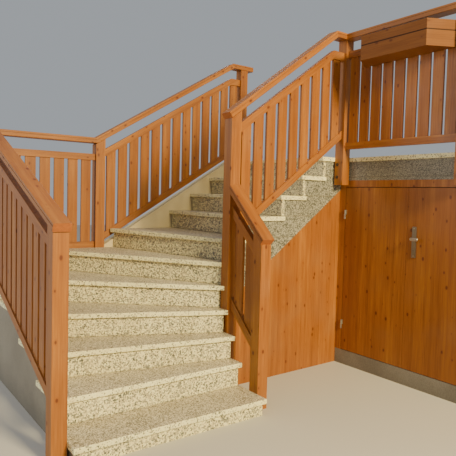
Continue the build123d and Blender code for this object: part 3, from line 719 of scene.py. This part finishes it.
def head_tree():
    """Tree with a washer and a head at each point, seen along Z before they are turned."""
    tree = bpy.data.node_groups.new("heads", "GeometryNodeTree")
    face = tree.interface
    face.new_socket("Geometry", in_out="INPUT", socket_type="NodeSocketGeometry")
    for name, value in bolt_sizes:
        face.new_socket(name, in_out="INPUT", socket_type="NodeSocketFloat").default_value = value
    for name, value in bolt_sides:
        face.new_socket(name, in_out="INPUT", socket_type="NodeSocketInt").default_value = value
    face.new_socket("Turn", in_out="INPUT", socket_type="NodeSocketVector")
    face.new_socket("Material", in_out="INPUT", socket_type="NodeSocketMaterial")
    face.new_socket("Geometry", in_out="OUTPUT", socket_type="NodeSocketGeometry")
    inputs = add(tree, "NodeGroupInput").outputs
    link = tree.links.new
    discs = add(tree, "GeometryNodeJoinGeometry")
    for kind, base in (("Washer", None), ("Head", "Washer Height")):
        disc = add(tree, "GeometryNodeMeshCylinder")
        link(inputs[f"{kind} Sides"], disc.inputs["Vertices"])
        link(inputs[f"{kind} Radius"], disc.inputs["Radius"])
        link(inputs[f"{kind} Height"], disc.inputs["Depth"])
        lift = add(tree, "ShaderNodeMath", operation="MULTIPLY_ADD")
        link(inputs[f"{kind} Height"], lift.inputs[0])
        lift.inputs[1].default_value = 0.5
        lift.inputs[2].default_value = 0.0
        if base:
            link(inputs[base], lift.inputs[2])
        place = add(tree, "ShaderNodeCombineXYZ")
        link(lift.outputs[0], place.inputs["Z"])
        move = add(tree, "GeometryNodeTransform")
        link(disc.outputs["Mesh"], move.inputs["Geometry"])
        link(place.outputs[0], move.inputs["Translation"])
        link(move.outputs["Geometry"], discs.inputs[0])
    spread = add(tree, "GeometryNodeInstanceOnPoints")
    link(inputs["Geometry"], spread.inputs["Points"])
    link(discs.outputs[0], spread.inputs["Instance"])
    to_turn = add(tree, "FunctionNodeEulerToRotation")
    link(inputs["Turn"], to_turn.inputs[0])
    link(to_turn.outputs[0], spread.inputs["Rotation"])
    real = add(tree, "GeometryNodeRealizeInstances")
    link(spread.outputs[0], real.inputs[0])
    paint = add(tree, "GeometryNodeSetMaterial")
    link(real.outputs[0], paint.inputs["Geometry"])
    link(inputs["Material"], paint.inputs["Material"])
    link(paint.outputs[0], add(tree, "NodeGroupOutput").inputs[0])
    return tree


heads = head_tree()
print("tree of", len(heads.nodes), "nodes for the heads")


# %% [markdown]
# A modifier runs the tree on the points. Its inputs are set by the identifier of each socket before
# the object is evaluated. The result is kept as a plain mesh, because the export drops instances.

# %% Growing heads on points
def grow(name, tree, points, body, **values):
    """Runs a Geometry Nodes tree on points and keeps the result as a plain mesh."""
    seed = bpy.data.meshes.new(name + "_points")
    seed.from_pydata([tuple(p) for p in points], [], [])
    carrier = bpy.data.objects.new(name, seed)
    bpy.context.scene.collection.objects.link(carrier)
    modifier = carrier.modifiers.new("grow", "NODES")
    modifier.node_group = tree
    items = [item for item in tree.interface.items_tree if item.in_out == "INPUT"]
    sockets = {item.name: item.identifier for item in items}
    for key, value in values.items():
        modifier[sockets[key.replace("_", " ")]] = value
    evaluated = carrier.evaluated_get(bpy.context.evaluated_depsgraph_get())
    result = bpy.data.meshes.new_from_object(evaluated)
    carrier.modifiers.remove(modifier)
    carrier.data = result
    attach(carrier, body)
    print(name, "has", len(result.polygons), "faces")


print("ready to grow heads")


# %% [markdown]
# The bolts in front sit near the upper and the lower edge of the deck, a little beside the middle
# of each post. The two posts on the left of the stair are bolted from their outer side. The places
# could be read off the picture, but they come from the boxes of the posts, so they follow the CAD.

# %% Bolts of the posts
front_posts = 3
bolt_edge, bolt_side = 0.0265, -0.015
side_bolt_heights = (0.06, 0.17)
facing_front, facing_left = (math.radians(90), 0, 0), (0, math.radians(-90), 0)
post_low, post_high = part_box("balcony_posts")
deck_low, deck_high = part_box("fascia")
bay = (post_high.x - post_low.x - post_size) / 2
front_bolt_heights = (deck_low.z + bolt_edge, deck_high.z - bolt_edge)
front_bolts = [
    (i * bay + bolt_side, post_low.y, z) for i in range(front_posts) for z in front_bolt_heights
]
grow("post_bolts", heads, front_bolts, "root", Turn=facing_front, Material=dark_steel_and_slot_shade)

left_bolts = []
for node in ("turn_post", "landing_post"):
    low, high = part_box(node)
    left_bolts += [(low.x, (low.y + high.y) / 2, low.z + above_foot) for above_foot in side_bolt_heights]
grow("side_bolts", heads, left_bolts, "root", Turn=facing_left, Material=dark_steel_and_slot_shade)


# %% [markdown]
# The lock plate is held by a small round screw at each end, and the lock cylinder has a narrow keyway.
# It could be cut in, but a CAD mesh is never cut, so the keyway is a thin dark bar that stands a hair
# proud. Its dark colour is painted shade, standing in for the shade inside the slot.

# %% Screws and keyway of the lock
plate_thickness, screw_edge = 0.008, 0.014
lock_below_lever, keyway_width, keyway_height, keyway_proud = 0.092, 0.0018, 0.010, 0.0003
plate_low, plate_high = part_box("door_handle")
plate_middle = (plate_low.x + plate_high.x) / 2
plate_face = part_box("right_door")[0].y - plate_thickness
screws = [(plate_middle, plate_face, z) for z in (plate_low.z + screw_edge, plate_high.z - screw_edge)]
grow(
    "plate_screws", heads, screws, "right_door", Turn=facing_front, Material=steel,
    Washer_Radius=0.0050, Washer_Height=0.0004, Head_Radius=0.0041, Head_Height=0.0012, Head_Sides=20,
)


def bar(name, low, high, material, body):
    """Upright box between two corners."""
    outline = [(low[1], low[2]), (high[1], low[2]), (high[1], high[2]), (low[1], high[2])]
    return prism(name, outline, low[0], high[0], material, body)


lever_low, lever_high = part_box("door_lever")
keyway_z = (lever_low.z + lever_high.z) / 2 - lock_below_lever
keyway_low = (plate_middle - keyway_width / 2, plate_low.y - keyway_proud, keyway_z - keyway_height / 2)
keyway_high = (plate_middle + keyway_width / 2, plate_low.y, keyway_z + keyway_height / 2)
# Painted shade: a dark bar where the slot would be in shade.
keyway = bar("keyway", keyway_low, keyway_high, dark_steel_and_slot_shade, "right_door")
print("keyway at %.3f m height" % keyway_z)


# %% [markdown]
# Where the two leaves meet, a soft seal fills most of the gap, so no light comes through. It could
# be part of a leaf, but it is another material. It is fixed to the edge of the left leaf and stays
# clear of the right one when either of them swings.

# %% Seal between the leaves
def soft_plastic(name, colour, darker):
    material, tree = new_material(name)
    mottle = noise(tree, object_position(tree), 60.0, 3.0)
    shade = mix(tree, smooth(tree, mottle, 0.3, 0.7), darker, colour)
    finish_surface(tree, shade, smooth(tree, mottle, 0.3, 0.7, 0.5, 0.65), mottle, 0.0001)
    return material


seal_hold, seal_reach, seal_end = 0.0016, 0.0042, 0.002
seal_back, seal_depth = 0.0004, 0.018
seal_brown = soft_plastic("seal_brown", linear(154, 94, 39), linear(141, 83, 32))
left_low, left_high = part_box("left_door")
seal_front = left_low.y + seal_back
seal_low = (left_high.x - seal_hold, seal_front, left_low.z + seal_end)
seal_high = (left_high.x + seal_reach, seal_front + seal_depth, left_high.z - seal_end)
seal = bar("meeting_seal", seal_low, seal_high, seal_brown, "left_door")
print("seal %.1f mm wide in the gap" % (seal_reach * 1000))


# %% [markdown]
# The hollow handrails are closed with a thin cap at each free end. A cap could be drawn by hand, but
# it has the outline of the rail's own end face, so it is taken from the CAD mesh: the corners in the
# farthest plane are put in order round their middle, moved in a little and given a thickness.

# %% Outline of a handrail's end
cap_thickness, cap_inset = 0.002, 0.001
plane_margin = 0.0001


def end_corners(node, outward):
    """Corners of the end face of a handrail that lies farthest in the outward direction."""
    vertices = nodes[node].data.vertices
    reach = max(vertex.co.dot(outward) for vertex in vertices)
    ends = [vertex.co for vertex in vertices if reach - vertex.co.dot(outward) < plane_margin]
    return [Vector(corner) for corner in {tuple(round(c, 5) for c in end) for end in ends}]


def hull_ring(flat):
    """Flat points on the outside of a set, in order round its middle."""
    outline = bmesh.new()
    for u, v in flat:
        outline.verts.new((u, v, 0))
    hull = bmesh.ops.convex_hull(outline, input=outline.verts)
    rim = {v for v in outline.verts if v not in hull["geom_interior"]}
    ring = sorted(((v.co.x, v.co.y) for v in rim), key=lambda c: math.atan2(c[1], c[0]))
    outline.free()
    return ring


print("caps %.1f mm thick" % (cap_thickness * 1000))


# %% [markdown]
# The ring of corners becomes the cap: one copy lies on the end face, and one a cap's thickness
# further out, so the cap is a closed shell like the wall and the seal. Four handrails have a free
# end.

# %% Caps of the handrails
cap_plastic = soft_plastic("cap_brown", linear(167, 95, 40), linear(150, 83, 34))


def end_cap(name, node, outward):
    """Cap on the free end of a handrail."""
    corners = end_corners(node, outward)
    middle = sum(corners, Vector()) / len(corners)
    width_way = outward.cross(up).normalized()
    height_way = width_way.cross(outward)
    flat = [((c - middle).dot(width_way), (c - middle).dot(height_way)) for c in corners]
    ring = hull_ring(flat)
    near, far = [], []
    for points, distance in ((near, 0.0), (far, cap_thickness)):
        for u, v in ring:
            shrink = 1 - cap_inset / math.hypot(u, v)
            points.append(middle + width_way * u * shrink + height_way * v * shrink + outward * distance)
    cap = closed_shell(name, near, far, cap_plastic, "root")


end_cap("outer_cap", "outer_handrail", (side_x + run_slopes["outer"][0] * up).normalized())
end_cap("low_cap", "low_handrail", (side_x + run_slopes["low"][0] * up).normalized())
end_cap("inner_cap", "inner_handrail", (-side_y - run_slopes["inner"][0] * up).normalized())
end_cap("left_cap", "left_handrail", side_y)


# %% [markdown]
# The studio is a pale floor, a soft cool surrounding and large lamps. A sky texture would give
# sharper shadows, but large lamps show shape and finish more evenly. The warm lamp stands on the
# +X side, so the risers and the faces that look along X are bright, and those that look along -Y are
# darker. A weak lamp in front and one behind keep the shaded sides readable.

# %% Floor and light
half_floor = 20.0
floor_corners = [(-half_floor, -half_floor, 0), (half_floor, -half_floor, 0)]
floor_corners += [(half_floor, half_floor, 0), (-half_floor, half_floor, 0)]
floor_mesh = bpy.data.meshes.new("studio_floor")
floor_mesh.from_pydata(floor_corners, [], [(0, 1, 2, 3)])
studio_floor = bpy.data.objects.new("studio_floor", floor_mesh)
bpy.context.scene.collection.objects.link(studio_floor)
floor_material, floor_tree = new_material("studio_floor")
floor_cloud = noise(floor_tree, object_position(floor_tree), 0.5)
floor_colour = mix(floor_tree, floor_cloud, linear(192, 190, 184), linear(201, 198, 192))
floor_roughness = smooth(floor_tree, floor_cloud, 0.0, 1.0, 0.8, 0.9)
finish_surface(floor_tree, floor_colour, floor_roughness, floor_cloud, 0.0001)
floor_mesh.materials.append(floor_material)

world = bpy.data.worlds.new("studio_world")
bpy.context.scene.world = world
world.use_nodes = True
background = world.node_tree.nodes["Background"]
background.inputs["Color"].default_value = (0.88, 0.94, 1.0, 1.0)
background.inputs["Strength"].default_value = 0.41
aim = Vector((0.3, 0.3, 1.2))


def lamp(name, place, size, power, colour):
    light = bpy.data.lights.new(name, "AREA")
    light.shape = "SQUARE"
    light.size = size
    light.energy = power
    light.color = colour
    holder = bpy.data.objects.new(name, light)
    bpy.context.scene.collection.objects.link(holder)
    holder.location = place
    holder.rotation_euler = (aim - Vector(place)).to_track_quat("-Z", "Y").to_euler()


lamp("key_lamp", (8.6, 0.1, 5.4), size=1.8, power=1725.0, colour=(1.0, 0.80, 0.40))
lamp("fill_lamp", (-4.0, -7.0, 2.8), size=4.0, power=265.0, colour=(1.0, 0.98, 0.92))
lamp("back_lamp", (-6.5, 6.5, 5.0), size=4.0, power=300.0, colour=(0.95, 0.97, 1.0))
print("studio lit")


# %% [markdown]
# The camera looks at the steps from the same place and angle as the picture of the real ones. It
# could be placed by eye, but its place, turn and focal length come from fitting the known shape of
# the steps to that picture, which also gives the small roll.

# %% Camera
lens, sensor = 41.28, 36.0
shift_right, shift_up = 0.0107, -0.0130
camera_place = Vector((3.1499, -2.4068, 1.5031))
yaw, pitch, roll = math.radians(53.453), math.radians(-2.86), math.radians(1.457)
forward = Vector((-math.sin(yaw) * math.cos(pitch), math.cos(yaw) * math.cos(pitch), math.sin(pitch)))
level_right = Vector((math.cos(yaw), math.sin(yaw), 0))
level_up = level_right.cross(forward)
camera_right = math.cos(roll) * level_right + math.sin(roll) * level_up
camera_up = math.cos(roll) * level_up - math.sin(roll) * level_right
camera_turn = Matrix((camera_right, camera_up, -forward)).transposed().to_4x4()
camera_data = bpy.data.cameras.new("camera")
camera_data.lens = lens
camera_data.sensor_width = sensor
camera_data.shift_x = shift_right
camera_data.shift_y = shift_up
camera = bpy.data.objects.new("camera", camera_data)
bpy.context.scene.collection.objects.link(camera)
camera.matrix_world = Matrix.Translation(camera_place) @ camera_turn
bpy.context.scene.camera = camera
print("camera at", tuple(camera_place))


# %% [markdown]
# Last, the view layer is updated, so every piece has its final place.

# %% Update the view layer
bpy.context.view_layer.update()
